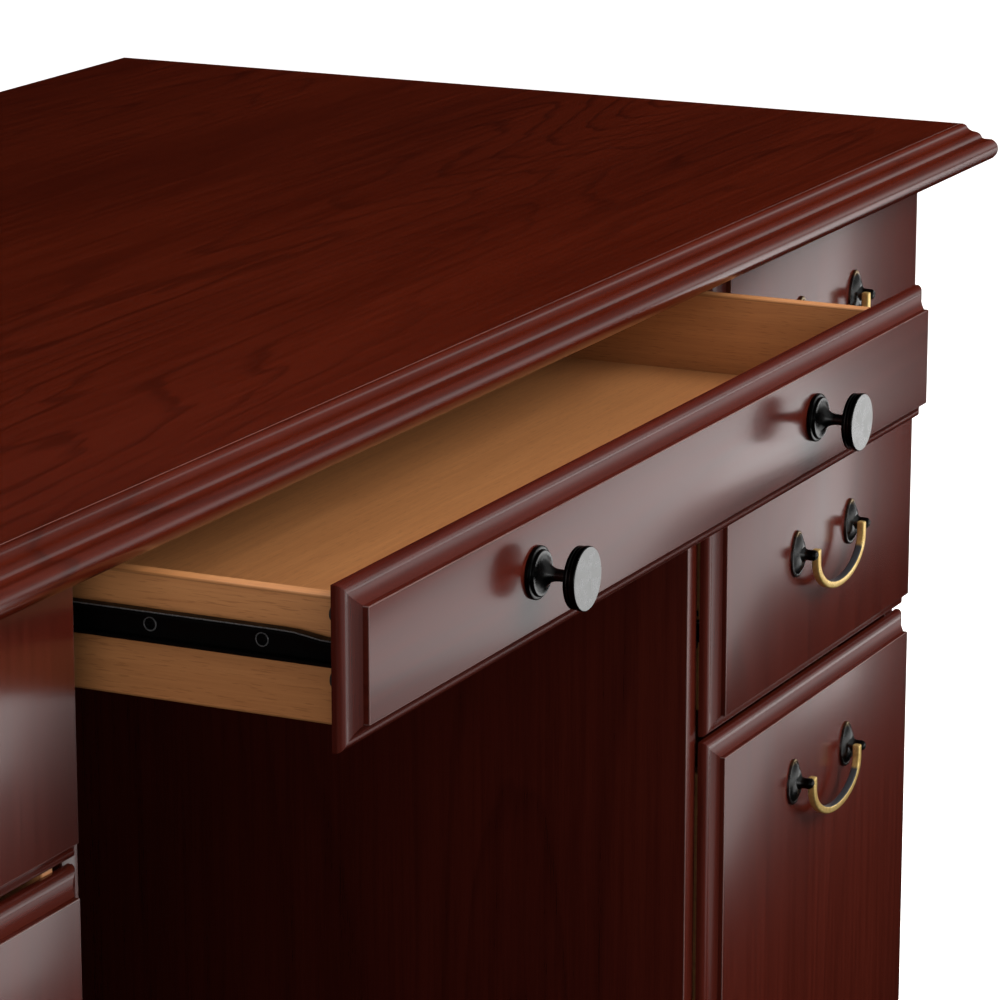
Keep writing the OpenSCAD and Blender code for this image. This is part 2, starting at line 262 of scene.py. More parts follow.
def mitred_bar(bm, place, half_a, half_b, side, profile, mat):
    """One side of a mitred frame around a rectangle. place(a, b, h) gives a point."""
    rings = []
    for end in (-1, 1):
        if side in ("low", "high"):
            way = -1 if side == "low" else 1
            ring = [place(end * (half_a + g - MITRE_GAP), way * (half_b + g), h) for g, h in profile]
        else:
            way = -1 if side == "left" else 1
            ring = [place(way * (half_a + g), end * (half_b + g - MITRE_GAP), h) for g, h in profile]
        rings.append(ring)
    loft(bm, rings, mat)


def new_mesh():
    bm = bmesh.new()
    bm.verts.layers.float.new("rub")
    return bm


def make_piece(bm, name, body, materials, nodes=(), crease=28):
    """Turns bm into a piece that rides on a body and stands for CAD nodes."""
    bmesh.ops.recalc_face_normals(bm, faces=bm.faces)
    mesh = bpy.data.meshes.new(name)
    bm.to_mesh(mesh)
    bm.free()
    for material in materials:
        mesh.materials.append(material)
    mesh.polygons.foreach_set("use_smooth", [True] * len(mesh.polygons))
    mesh.set_sharp_from_angle(angle=math.radians(crease))
    piece = bpy.data.objects.new(name, mesh)
    bpy.context.scene.collection.objects.link(piece)
    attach(piece, body)
    if nodes:
        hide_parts(*nodes)
    return piece


# ---- node trees

def put(socket, value):
    if isinstance(value, bpy.types.NodeSocket):
        socket.id_data.links.new(value, socket)
    else:
        socket.default_value = value


def add(tree, kind, inputs=None, **settings):
    made = tree.nodes.new(kind)
    for key, value in settings.items():
        setattr(made, key, value)
    for key, value in (inputs or {}).items():
        put(made.inputs[key], value)
    return made


def math_node(tree, operation, a, b=0.0):
    return add(tree, "ShaderNodeMath", {0: a, 1: b}, operation=operation).outputs[0]


def weighted(tree, *parts):
    """The sum of values, each times its weight."""
    total = math_node(tree, "MULTIPLY", *parts[0])
    for value, weight in parts[1:]:
        total = math_node(tree, "ADD", total, math_node(tree, "MULTIPLY", value, weight))
    return total


def noise(tree, vector, scale, detail=2.0, roughness=0.5):
    inputs = {"Vector": vector, "Scale": scale, "Detail": detail, "Roughness": roughness}
    return add(tree, "ShaderNodeTexNoise", inputs).outputs[0]


def fade(tree, value, start, end, low=0.0, high=1.0):
    """A smooth step from low to high as value goes from start to end."""
    inputs = {"Value": value, "From Min": start, "From Max": end, "To Min": low, "To Max": high}
    return add(tree, "ShaderNodeMapRange", inputs, interpolation_type="SMOOTHSTEP").outputs[0]


def blend_colours(tree, factor, a, b):
    return add(tree, "ShaderNodeMix", {0: factor, 6: a, 7: b}, data_type="RGBA").outputs[2]


def stretch(tree, coords, axis, share):
    """Coordinates that change only share as fast along an axis."""
    scale = [1.0, 1.0, 1.0]
    scale["XYZ".index(axis)] = share
    return add(tree, "ShaderNodeVectorMath", {0: coords, 1: scale}, operation="MULTIPLY").outputs[0]


def new_material(name):
    material = bpy.data.materials.new(name)
    material.use_nodes = True
    tree = material.node_tree
    shader = tree.nodes["Principled BSDF"]
    coords = add(tree, "ShaderNodeTexCoord").outputs["Object"]
    return material, tree, shader, coords


def set_bump(tree, shader, height, strength, distance):
    bump = add(tree, "ShaderNodeBump", {"Height": height, "Strength": strength, "Distance": distance})
    put(shader.inputs["Normal"], bump.outputs[0])


# ---- materials

CHERRY = {
    "light": (0.071, 0.0076, 0.0023, 1), "dark": (0.042, 0.0042, 0.0013, 1),
    "line": (0.014, 0.0016, 0.0008, 1), "pore": (0.02, 0.0022, 0.001, 1),
    "rings": 40, "line_share": 0.52, "pore_share": 0.3,
    "roughness": 0.25, "bump": 0.012, "coat": 0.2, "coat_roughness": 0.14}
CHERRY_PANEL = dict(CHERRY, light=(0.073, 0.0098, 0.0052, 1), dark=(0.046, 0.0058, 0.0031, 1),
                    rings=14, line_share=0.22, pore_share=0.2, roughness=0.26)
# Lighter, greyer cherry for eased edges: a painted highlight standing in for the thin light lines where
# rounded edges catch the light.
CHERRY_EDGE_HIGHLIGHT = dict(CHERRY_PANEL, light=(0.14, 0.075, 0.068, 1), dark=(0.11, 0.058, 0.052, 1))
BEECH = {
    "light": (0.56, 0.24, 0.086, 1), "dark": (0.45, 0.18, 0.062, 1),
    "line": (0.36, 0.135, 0.045, 1), "pore": (0.26, 0.09, 0.028, 1),
    "rings": 15, "line_share": 0.3, "pore_share": 0.45,
    "roughness": 0.42, "bump": 0.08, "coat": 0.1, "coat_roughness": 0.3}
BEECH_EDGE = dict(BEECH, light=(0.37, 0.155, 0.054, 1), dark=(0.31, 0.127, 0.043, 1),
                  roughness=0.52, coat=0.0)


def grey(level):
    return (level, level, level, 1)


def rub_of(tree):
    """The mesh's own value for how worn its surface is."""
    return add(tree, "ShaderNodeAttribute", attribute_name="rub").outputs["Fac"]


def wood(name, axis, look):
    """Wood whose grain runs along an axis: streaks, growth lines in long ovals, and pores."""
    material, tree, shader, coords = new_material(name)
    broad = noise(tree, stretch(tree, coords, axis, 0.12), 8.0, 3.0)
    streak = noise(tree, stretch(tree, coords, axis, 0.022), 210.0, 4.0, 0.65)
    fine = noise(tree, stretch(tree, coords, axis, 0.03), 820.0, 2.0)
    hill = noise(tree, stretch(tree, coords, axis, 0.14), 4.6, 1.0)
    ripple = noise(tree, stretch(tree, coords, axis, 0.1), 70.0, 2.0)
    saw = math_node(tree, "FRACT", weighted(tree, (hill, look["rings"]), (ripple, look["rings"] * 0.022)))
    rise = fade(tree, saw, 0.68, 0.93)
    line = math_node(tree, "MULTIPLY", rise, fade(tree, saw, 0.93, 1.0, 1.0, 0.0))
    patch = fade(tree, noise(tree, stretch(tree, coords, axis, 0.3), 2.6, 1.0), 0.4, 0.62, 0.15, 1.0)
    line = math_node(tree, "MULTIPLY", line, patch)
    pore = fade(tree, noise(tree, stretch(tree, coords, axis, 0.06), 1300.0, 1.0), 0.6, 0.7)
    tone = weighted(tree, (broad, 0.4), (streak, 0.4), (fine, 0.2))
    colour = blend_colours(tree, fade(tree, tone, 0.36, 0.64), look["dark"], look["light"])
    line = math_node(tree, "MULTIPLY", line, look["line_share"])
    pores = math_node(tree, "MULTIPLY", pore, look["pore_share"])
    colour = blend_colours(tree, line, colour, look["line"])
    colour = blend_colours(tree, pores, colour, look["pore"])
    put(shader.inputs["Base Color"], colour)
    rough = fade(tree, streak, 0.3, 0.7, look["roughness"] - 0.008, look["roughness"] + 0.012)
    put(shader.inputs["Roughness"], rough)
    put(shader.inputs["Coat Weight"], look["coat"])
    put(shader.inputs["Coat Roughness"], look["coat_roughness"])
    relief = weighted(tree, (streak, 0.5), (pore, -0.4))
    set_bump(tree, shader, relief, look["bump"], 0.0003)
    return material


def painted_steel():
    """Black powder-coated sheet steel, slightly uneven. The pale line on a runner is a painted highlight in
    a material of its own.
    """
    material, tree, shader, coords = new_material("runner_steel")
    mottle = noise(tree, coords, 90.0, 3.0)
    peel = noise(tree, coords, 900.0, 2.0)
    put(shader.inputs["Base Color"], blend_colours(tree, mottle, grey(0.0008), grey(0.002)))
    put(shader.inputs["Roughness"], fade(tree, mottle, 0.3, 0.7, 0.4, 0.55))
    put(shader.inputs["Specular IOR Level"], 0.15)
    set_bump(tree, shader, peel, 0.12, 0.0002)
    return material


def painted_highlight_steel():
    """Grey, half-metallic steel for the pale wire along a runner's upper edge and the rings round its
    screws: painted highlights.
    """
    material, tree, shader, coords = new_material("runner_steel_painted_highlight")
    mottle = noise(tree, coords, 240.0, 3.0)
    put(shader.inputs["Base Color"], blend_colours(tree, mottle, (0.1, 0.103, 0.106, 1), grey(0.17)))
    put(shader.inputs["Roughness"], fade(tree, mottle, 0.3, 0.7, 0.22, 0.34))
    put(shader.inputs["Metallic"], 0.4)
    return material


def black_bronze(name, low, high):
    """Dark patinated metal whose reflectance is from low to high, brown where rub is high and black
    where it is negative."""
    material, tree, shader, coords = new_material(name)
    mottle = noise(tree, coords, 160.0, 4.0, 0.6)
    cast = noise(tree, coords, 1400.0, 2.0)
    rub = rub_of(tree)
    worn = fade(tree, weighted(tree, (rub, 1.0), (mottle, 0.5)), 0.75, 1.25)
    black = fade(tree, rub, -0.8, -0.2, 1.0, 0.0)
    warm = (high, high, high * 0.98, 1)
    patina = blend_colours(tree, fade(tree, mottle, 0.35, 0.65), grey(low), warm)
    patina = blend_colours(tree, black, patina, grey(0.012))
    put(shader.inputs["Base Color"], blend_colours(tree, worn, patina, (0.36, 0.25, 0.13, 1)))
    put(shader.inputs["Roughness"], fade(tree, mottle, 0.3, 0.7, 0.25, 0.33))
    put(shader.inputs["Metallic"], 1.0)
    set_bump(tree, shader, cast, 0.06, 0.0001)
    return material


def antique_brass():
    """Brass rubbed bright where rub is high, and left dark blue-grey elsewhere."""
    material, tree, shader, coords = new_material("antique_brass")
    mottle = noise(tree, coords, 260.0, 4.0, 0.6)
    fine = noise(tree, coords, 1500.0, 2.0)
    bright = fade(tree, weighted(tree, (rub_of(tree), 1.0), (mottle, 0.16)), 0.42, 0.7)
    patch = fade(tree, mottle, 0.3, 0.7)
    brass = blend_colours(tree, patch, (0.72, 0.47, 0.15, 1), (0.95, 0.68, 0.26, 1))
    put(shader.inputs["Base Color"], blend_colours(tree, bright, (0.09, 0.1, 0.115, 1), brass))
    put(shader.inputs["Roughness"], fade(tree, mottle, 0.3, 0.7, 0.34, 0.27))
    put(shader.inputs["Metallic"], 0.72)
    set_bump(tree, shader, fine, 0.05, 0.0001)
    return material


def black_plastic():
    """Moulded black plastic with a fine matte grain."""
    material, tree, shader, coords = new_material("black_plastic")
    grain = noise(tree, coords, 2200.0, 2.0)
    put(shader.inputs["Base Color"], blend_colours(tree, grain, grey(0.012), grey(0.024)))
    put(shader.inputs["Roughness"], fade(tree, grain, 0.3, 0.7, 0.5, 0.65))
    set_bump(tree, shader, grain, 0.2, 0.0001)
    return material


def zinc():
    """Zinc-plated steel with a faint brushing and a yellowish passivation."""
    material, tree, shader, coords = new_material("zinc")
    cloud = noise(tree, coords, 120.0, 3.0)
    brush = noise(tree, stretch(tree, coords, "X", 0.08), 1800.0, 2.0)
    put(shader.inputs["Base Color"], blend_colours(tree, cloud, grey(0.5), (0.66, 0.63, 0.55, 1)))
    put(shader.inputs["Roughness"], fade(tree, brush, 0.3, 0.7, 0.25, 0.42))
    put(shader.inputs["Metallic"], 1.0)
    set_bump(tree, shader, brush, 0.1, 0.0001)
    return material


def pale_floor():
    """A plain pale floor with the faintest unevenness."""
    material, tree, shader, coords = new_material("pale_floor")
    cloud = noise(tree, coords, 1.5, 3.0)
    colour = blend_colours(tree, cloud, (0.9, 0.9, 0.895, 1), (0.93, 0.93, 0.925, 1))
    put(shader.inputs["Base Color"], colour)
    put(shader.inputs["Roughness"], 0.9)
    put(shader.inputs["Specular IOR Level"], 0.1)
    put(shader.inputs["Emission Color"], (1, 1, 1, 1))
    put(shader.inputs["Emission Strength"], 0.7)
    return material


MAT = {
    "top": wood("top_wood", "X", CHERRY),
    "moulding_x": wood("moulding_wood_x", "X", CHERRY),
    "moulding_y": wood("moulding_wood_y", "Y", CHERRY),
    "front_x": wood("front_wood_x", "X", CHERRY_PANEL),
    "front_z": wood("front_wood_z", "Z", CHERRY_PANEL),
    # front_edge and panel_edge_highlight carry the lighter edge cherry, a painted highlight.
    "front_edge": wood("front_wood_edge_highlight", "Z", CHERRY_EDGE_HIGHLIGHT),
    "panel_z": wood("panel_wood_z", "Z", CHERRY_PANEL),
    "panel_x": wood("panel_wood_x", "X", CHERRY_PANEL),
    "panel_edge_highlight": wood("panel_wood_edge_highlight", "Z", CHERRY_EDGE_HIGHLIGHT),
    "beech_x": wood("beech_x", "X", BEECH),
    "beech_y": wood("beech_y", "Y", BEECH),
    "beech_edge": wood("beech_edge", "Y", BEECH_EDGE),
    "steel": painted_steel(),
    # The "rubbed" steel is a painted highlight for the runners' light line and screw rims.
    "rubbed": painted_highlight_steel(),
    "bronze": black_bronze("black_bronze", 0.12, 0.15),
    # A brighter copy of the bronze for the knob's flat face: its reflection is rendered, and the extra
    # brightness is painted sheen.
    "knob_face_sheen": black_bronze("black_bronze_face_sheen", 0.22, 0.23),
    "brass": antique_brass(),
    "plastic": black_plastic(),
    "zinc": zinc(),
}


# ---- places taken from the CAD boxes

def box_mm(node):
    low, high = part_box(node)
    return low / MM, high / MM


def mirrored(low, high):
    """The box on the other side of the desk."""
    return (-high[0], low[1], low[2]), (-low[0], high[1], high[2])


TOP_LOW, TOP_HIGH = box_mm("desktop_panel")
KNEE_X = box_mm("right_inner_side")[0].x
BAY_IN = box_mm("right_inner_side")[1].x
BAY_OUT = box_mm("right_outer_side")[0].x


# ---- top

def make_top():
    bm = new_mesh()
    # The top's eased edges take the lighter edge cherry: a painted highlight.
    board(bm, TOP_LOW, TOP_HIGH, TOP_EASE, 0, 1, 2)
    make_piece(bm, "top_panel", "carcass", [MAT["top"], MAT["front_edge"]], ["desktop_panel"])


def make_mouldings():
    middle = (TOP_LOW + TOP_HIGH) / 2
    half = (TOP_HIGH - TOP_LOW) / 2

    def place(a, b, h):
        return Vector((middle.x + a, middle.y + b, TOP_HIGH.z + h))

    nodes = {"low": ["moulding_front_back"], "left": ["moulding_ends"]}
    names = {"low": "moulding_front", "high": "moulding_back",
             "left": "moulding_left", "right": "moulding_right"}
    for side, name in names.items():
        bm = new_mesh()
        mitred_bar(bm, place, half.x, half.y, side, top_edge(), 0)
        material = MAT["moulding_x" if side in ("low", "high") else "moulding_y"]
        make_piece(bm, name, "carcass", [material], nodes.get(side, ()))


# ---- carcass

def make_panel(name, node, boxes, materials):
    bm = new_mesh()
    for low, high in boxes:
        board(bm, low, high, PANEL_EASE, 0, 1)
    make_piece(bm, name, "carcass", materials, [node])


def make_carcass():
    # The second material of each board is the lighter edge cherry on its eased edges: a painted highlight.
    upright = [MAT["panel_z"], MAT["panel_edge_highlight"]]
    level = [MAT["panel_x"], MAT["panel_edge_highlight"]]
    singles = ("left_outer_side", "left_inner_side", "right_inner_side", "right_outer_side", "kneehole_back")
    for node in singles:
        make_panel(node + "_panel", node, [box_mm(node)], upright)
    pairs = {"pedestal_backs": upright, "pedestal_bottoms": level, "plinth_rails": level}
    for node, materials in pairs.items():
        low, high = box_mm(node)
        right = (BAY_IN, low.y, low.z), (BAY_OUT, high.y, high.z)
        make_panel(node + "_panels", node, [right, mirrored(*right)], materials)
    low, high = box_mm("top_rails")
    boxes = []
    for start in (low.y, high.y - RAIL_W):
        right = (BAY_IN, start, low.z), (BAY_OUT, start + RAIL_W, high.z)
        boxes += [right, mirrored(*right)]
    make_panel("top_rail_boards", "top_rails", boxes, [MAT["beech_x"], MAT["beech_edge"]])


def glide(bm, x, y, side, half_w, height):
    """A round foot cut off to the width of the panel above it."""
    rings = []
    for z, share in ((0, 0.86), (0.8, 0.97), (2.2, 1.0), (height, 1.0)):
        outline = [(max(-half_w, min(half_w, u)) * share, v * share) for u, v in circle(GLIDE_R, 40)]
        rings.append([(side * (x + u), y + v, z) for u, v in outline])
    loft(bm, rings)


def make_glides():
    low, high = box_mm("floor_glides")
    half_w = (BAY_IN - KNEE_X) / 2
    bm = new_mesh()
    for x in (KNEE_X + half_w, BAY_OUT + half_w):
        for y in (low.y + GLIDE_R, high.y - GLIDE_R):
            for side in (-1, 1):
                glide(bm, x, y, side, half_w, high.z)
    make_piece(bm, "glides", "carcass", [MAT["plastic"]], ["floor_glides"])


def turned_pairs(name, node, places, profile, count):
    """The same turned zinc part at each place and at its mirror image."""
    bm = new_mesh()
    for x, y, z in places:
        for side in (-1, 1):
            lathe(bm, Vector((side * x, y, z)), Z, profile, count=count)
    make_piece(bm, name, "carcass", [MAT["zinc"]], [node])


def make_fastenings():
    """Cam locks with a round recess, and the screws that hold the top."""
    rail_low, rail_high = box_mm("top_rails")
    bottom_z = box_mm("cam_locks")[0].z + CAM_LIP
    carcass_low, carcass_high = box_mm("right_inner_side")
    rail_ys = (rail_low.y + RAIL_W / 2, rail_high.y - RAIL_W / 2)
    cam_xs = (BAY_IN + CAM_IN, BAY_OUT - CAM_IN)
    cams = [(x, y, rail_low.z) for x in cam_xs for y in rail_ys]
    bottom_ys = (carcass_low.y + CAM_BACK, carcass_high.y - CAM_BACK)
    cams += [(x, y, bottom_z) for x in cam_xs for y in bottom_ys]
    cam = [(CAM_R, 12), (CAM_R, 0), (CAM_R - 0.3, -CAM_LIP), (5.6, -CAM_LIP), (5.2, 0.5), (2.6, 0.5),
           (1.6, 3)]
    turned_pairs("cam_fittings", "cam_locks", cams, cam, 40)
    bay_x = (BAY_IN + BAY_OUT) / 2
    screws = [(x, y, rail_low.z) for x in (bay_x - TOP_SCREW_IN, bay_x + TOP_SCREW_IN) for y in rail_ys]
    screw = [(2.2, 26), (2.2, 0.05), (SCREW_R, 0), (SCREW_R, -0.8), (3.7, -2.1), (2.3, -2.5), (1.5, -1.2)]
    turned_pairs("rail_screws", "top_screws", screws, screw, 32)


# ---- drawer fronts and boxes

def make_front(node, body, field):
    """A raised field inside four mitred moulded strips, each with its own grain."""
    low, high = box_mm(node)
    half = (high - low) / 2
    middle = (low + high) / 2

    def place(a, b, h):
        return Vector((middle.x + a, high.y - h, middle.z + b))

    bm = new_mesh()
    for side, mat in (("low", 1), ("high", 1), ("left", 2), ("right", 2)):
        mitred_bar(bm, place, half.x, half.z, side, front_edge(), mat)
    inset = EDGE_W - FIELD_UNDER
    field_low = (low.x + inset, high.y - FRONT_T, low.z + inset)
    field_high = (high.x - inset, high.y - FIELD_BACK, high.z - inset)
    # The field's eased edges take the lighter edge cherry: a painted highlight.
    board(bm, field_low, field_high, FIELD_EASE, 0, 3)
    materials = [MAT[field], MAT["front_x"], MAT["front_z"], MAT["front_edge"]]
    make_piece(bm, node + "_panel", body, materials, [node])


def make_box(name, body, nodes, low, high):
    """Two sides and a back."""
    bm = new_mesh()
    board(bm, (low.x, low.y, low.z), (low.x + SIDE_T, high.y, high.z), BOARD_EASE, 0, 2)
    board(bm, (high.x - SIDE_T, low.y, low.z), (high.x, high.y, high.z), BOARD_EASE, 0, 2)
    inset = SIDE_T + GLUE
    back_low = (low.x + inset, high.y - SIDE_T, low.z)
    back_high = (high.x - inset, high.y, high.z - BACK_DROP)
    board(bm, back_low, back_high, BOARD_EASE, 1, 2)
    make_piece(bm, name, body, [MAT["beech_y"], MAT["beech_x"], MAT["beech_edge"]], nodes)


def make_bottom(node, body):
    bm = new_mesh()
    low, high = box_mm(node)
    board(bm, low, high, BOTTOM_EASE, 0, 1, 2)
    make_piece(bm, node + "_board", body, [MAT["beech_x"], MAT["beech_edge"]], [node])


# ---- runners

def runner_outline(depth, half, lip, radius, top=None):
    """Cross-section of a channel: (distance from its wall, height). Its upper edge is at top, or else at
    half, and its lips turn in by lip."""
    middle = RUNNER_T / 2
    edge = depth - middle
    top = half if top is None else top
    path = [(edge, top - lip), (edge, top - middle), (middle, top - middle),
            (middle, middle - half), (edge, middle - half), (edge, lip - half)]
    return ribbon(fillet(path, radius), RUNNER_T)


def drawer_runner(bm, wall_x, out, start, length, z, half):
    """A drawer's runner with its screws. Its upper edge dips at the front end. A pale wire along that edge
    and pale rings round the screws are painted highlights.
    """
    def place(u, v, t):
        return Vector((wall_x + out * u, t, z + v))

    dip = [(0, 6.1), (5, 5.9), (11, 6.1), (18, 7.2), (26, half - 0.3), (36, half), (length, half)]
    rings = []
    for t, top in dip:
        outline = runner_outline(DRAWER_CHANNEL, half, DRAWER_LIP, CHANNEL_BEND, top)
        rings.append([place(u, v, start + t) for u, v in outline])
    loft(bm, rings)
    # A pale wire along the upper edge: a painted highlight.
    line = [(t, top - 0.25) for t, top in dip[:-1]] + [(158, half - 0.25)]
    sweep(bm, [place(DRAWER_CHANNEL - 0.4, v, start + t) for t, v in reversed(line)], HIGHLIGHT_LINE_R, 1)
    # Pale rings round the screw heads: painted highlights.
    ring = [(3.9, 0), (3.9, 0.55), (3.7, 0.75), (3.4, 0.75), (3.2, 0.5), (3.2, 0)]
    head = [(3.1, 0), (3.1, 0.5), (2.6, 0.8), (1.6, 0.9), (1.2, 0.3)]
    for y in DRAWER_SCREW_YS:
        base = place(RUNNER_T - SCREW_SINK, 0, start + y)
        lathe(bm, base, X * out, ring, 1, 40)
        lathe(bm, base, X * out, head, 0, 32)


def make_drawer_runners(node, body):
    low, high = box_mm(node)
    z = (low.z + high.z) / 2
    half = (high.z - low.z) / 2
    bm = new_mesh()
    drawer_runner(bm, high.x - DRAWER_CHANNEL, 1, low.y, high.y - low.y, z, half)
    drawer_runner(bm, low.x + DRAWER_CHANNEL, -1, low.y, high.y - low.y, z, half)
    # The second material is the painted highlight on the edge line and screw rims.
    make_piece(bm, node + "_channels", body, [MAT["steel"], MAT["rubbed"]], [node])


def cabinet_runner(bm, wall_x, out, start, z):
    """A channel screwed to the carcass, wide enough to hold the drawer's own runner."""
    def place(u, v, t):
        return Vector((wall_x + out * u, t, z + v))

    outline = runner_outline(CABINET_CHANNEL, CABINET_CHANNEL_HALF, CABINET_LIP, CHANNEL_BEND)
    prism(bm, outline, place, start, start + RUNNER_L)
    head = [(2.9, 0), (2.9, 0.3), (2.4, 0.8), (1.7, 0.85), (1.1, 0.2)]
    for y in CABINET_SCREW_YS:
        lathe(bm, place(RUNNER_T - SCREW_SINK, 0, start + y), X * out, head, count=24)


def make_cabinet_runners():
    """A channel on each side of every opening."""
    low, high = box_mm("cabinet_runners")
    bm = new_mesh()
    openings = [("centre_runners", -KNEE_X, KNEE_X)]
    for tier in TIERS:
        openings.append((f"right_{tier}_runners", BAY_IN, BAY_OUT))
        openings.append((f"left_{tier}_runners", -BAY_OUT, -BAY_IN))
    for node, left_x, right_x in openings:
        inner_low, inner_high = box_mm(node)
        z = (inner_low.z + inner_high.z) / 2
        start = high.y - RUNNER_L if node == "centre_runners" else low.y
        cabinet_runner(bm, left_x, 1, start, z)
        cabinet_runner(bm, right_x, -1, start, z)
    make_piece(bm, "cabinet_channels", "carcass", [MAT["steel"]], ["cabinet_runners"])


# ---- knobs, bumpers and pulls

def knob_profile():
    """A knob from its rosette to its face: the outline, and how worn each of its points is."""
    r = KNOB_R
    rosette = [(14.6, 0), (15, 0.3), (15, 2.0), (14.8, 2.4), (14.4, 2.6), (13.7, 2.7), (13.5, 2.75),
               (13.2, 2.8), (13.1, 3.0), (13.0, 4.0), (12.7, 4.4), (12.3, 4.6)]
    rosette_rub = [-1, -1, -1, -0.9, -0.5, 0, 0, -0.3, -1, -1, -0.8, 0]
    trumpet = bend((12.2, 4.6), (3.5, 13), -80, 18)
    neck = [(3.5, 13), (3.35, 17), (3.5, 21)]
    flare = bend((3.5, 21), (r - 2, 23.6), -50, 8)[1:]
    rim = [(r - 2, 23.6), (r - 0.9, 23.8), (r - 0.45, 24.2), (r - 0.4, 25.5), (r - 0.75, 25.8),
           (r - 0.75, 26.0), (r - 0.4, 26.3), (r - 0.35, 27.4), (r - 0.7, 27.7), (r - 0.7, 27.9),
           (r - 0.1, 28.2), (r, 28.5), (r, 30.3), (r - 0.2, 30.7), (r - 0.5, KNOB_L)]
    rim_rub = [-1, -1, -1, -1, 0, 0, -1, -1, 0, 0, -1, -1, -1, -0.4, 0]
    rub = rosette_rub + [0] * len(trumpet) + [-0.5] * (len(neck) + len(flare)) + rim_rub
    return rosette + trumpet + neck + flare + rim, rub


def make_knobs():
    low, high = box_mm("centre_knobs")
    z = (low.z + high.z) / 2
    profile, rub = knob_profile()
    materials = [MAT["bronze"], MAT["knob_face_sheen"]]
    for side, x in (("left", -KNOB_GAP / 2), ("right", KNOB_GAP / 2)):
        bm = new_mesh()
        # The last end, the knob's face, takes the brighter bronze copy, partly painted sheen.
        lathe(bm, Vector((x, high.y, z)), -Y, profile, 0, 112, rub, 1)
        nodes = ["centre_knobs"] if side == "left" else ()
        make_piece(bm, f"centre_{side}_knob", "centre_drawer", materials, nodes, 24)


def make_bumpers():
    low, high = box_mm("centre_bumpers")
    r = BUMPER_R
    profile = [(r, 0), (r, 1.5), (r - 0.3, 1.9), (r - 0.9, 2.1), (1.0, 2.1)]
    bm = new_mesh()
    for x in (low.x + r, high.x - r):
        for z in (low.z + r, high.z - r):
            lathe(bm, Vector((x, low.y, z)), Y, profile, count=40)
    materials = [MAT["plastic"]]
    make_piece(bm, "centre_rubber_bumpers", "centre_drawer", materials, ["centre_bumpers"])


def plate_outline(share, count=56):
    """A teardrop, narrower at its top."""
    points = []
    for x, y in circle(share, count):
        taper = 1 - 0.22 * y / share
        points.append((PLATE_W / 2 * x * taper, PLATE_H / 2 * y))
    return points


def pull_post(bm, x, face_y, z, inward):
    """A domed backplate rubbed brown at its tip, a post, and a knuckle bored for the bail's pin."""
    dome = [(1.0, 0), (1.0, 1.3), (0.985, 1.8), (0.95, 2.1), (0.9, 2.1), (0.87, 2.0), (0.84, 2.3),
            (0.78, 3.1), (0.7, 3.9), (0.6, 4.7), (0.5, 5.3), (0.38, 5.7)]
    rings = [[(x + u, face_y - h, z + v) for u, v in plate_outline(share)] for share, h in dome]
    layer = bm.verts.layers.float["rub"]
    for ring in loft(bm, rings):
        for vert in ring:
            vert[layer] = max(0.0, min(0.9, (vert.co.z / MM - z - PLATE_TIP) / TIP_FADE))
    neck = [(6.4, 4.4), (5.4, 5.7), (4.5, 6.8), (POST_R, 8.0), (POST_R, PIVOT_OUT + 1.2),
            (2.6, PIVOT_OUT + 3.0)]
    lathe(bm, Vector((x, face_y, z)), -Y, neck, 0, 36, [0, 0, 0, -0.5, -1, -1])
    k = KNUCKLE_R
    barrel = [(1.2, 0.4), (1.96, 0.3), (1.96, 3.9), (2.4, 4.2), (3.1, 3.6), (k, 2.6), (k, -0.9),
              (3.2, -2.2), (2.4, -3.1), (1.4, -3.6), (0.5, -3.75)]
    lathe(bm, Vector((x, face_y - PIVOT_OUT, z)), X * inward, barrel, 0, 36, [-0.7] * len(barrel))


def make_plates(side, tier):
    front_low, front_high = box_mm(f"{side}_{tier}_drawer_front")
    x = (front_low.x + front_high.x) / 2
    z = front_high.z - PULL_DROP
    bm = new_mesh()
    pull_post(bm, x - POST_GAP / 2, front_low.y, z, 1)
    pull_post(bm, x + POST_GAP / 2, front_low.y, z, -1)
    name = f"{side}_{tier}_pull_posts"
    body = f"{side}_{tier}_drawer"
    make_piece(bm, name, body, [MAT["bronze"]], [f"{side}_{tier}_pull_plates"])


def bail_path():
    """Middle of the bar in (x, z) from the pivots, with the share of its thickness there."""
    rounding = ((0, 0.8), (0.15, 0.9), (0.5, 0.98), (0.9, 1.0))
    path = [((LEG_X, BAIL_T / 2 - drop), share) for drop, share in rounding]
    path += [((LEG_X, -BAIL_LEG * i / 4), 1.0) for i in range(4)]
    depth = BAIL_DROP - BAIL_T / 2 - BAIL_LEG
    half = [((LEG_X * math.cos(a), -BAIL_LEG - depth * math.sin(a)), 1.0)
            for a in (math.pi / 2 * i / 24 for i in range(24))]
    right = path + half
    left = [((-x, z), share) for (x, z), share in reversed(right)]
    return right + [((0, -BAIL_LEG - depth), 1.0)] + left


def bail_rub(u, v, outward):
    """How bright a point of the bail's section is: in front, outside, and all round on the legs."""
    front = 0.5 - v / 2.4 if u > -2.0 else 0.0
    return max(0.5 + u / 2.4, front, 1.55 + 2.0 * outward.z)


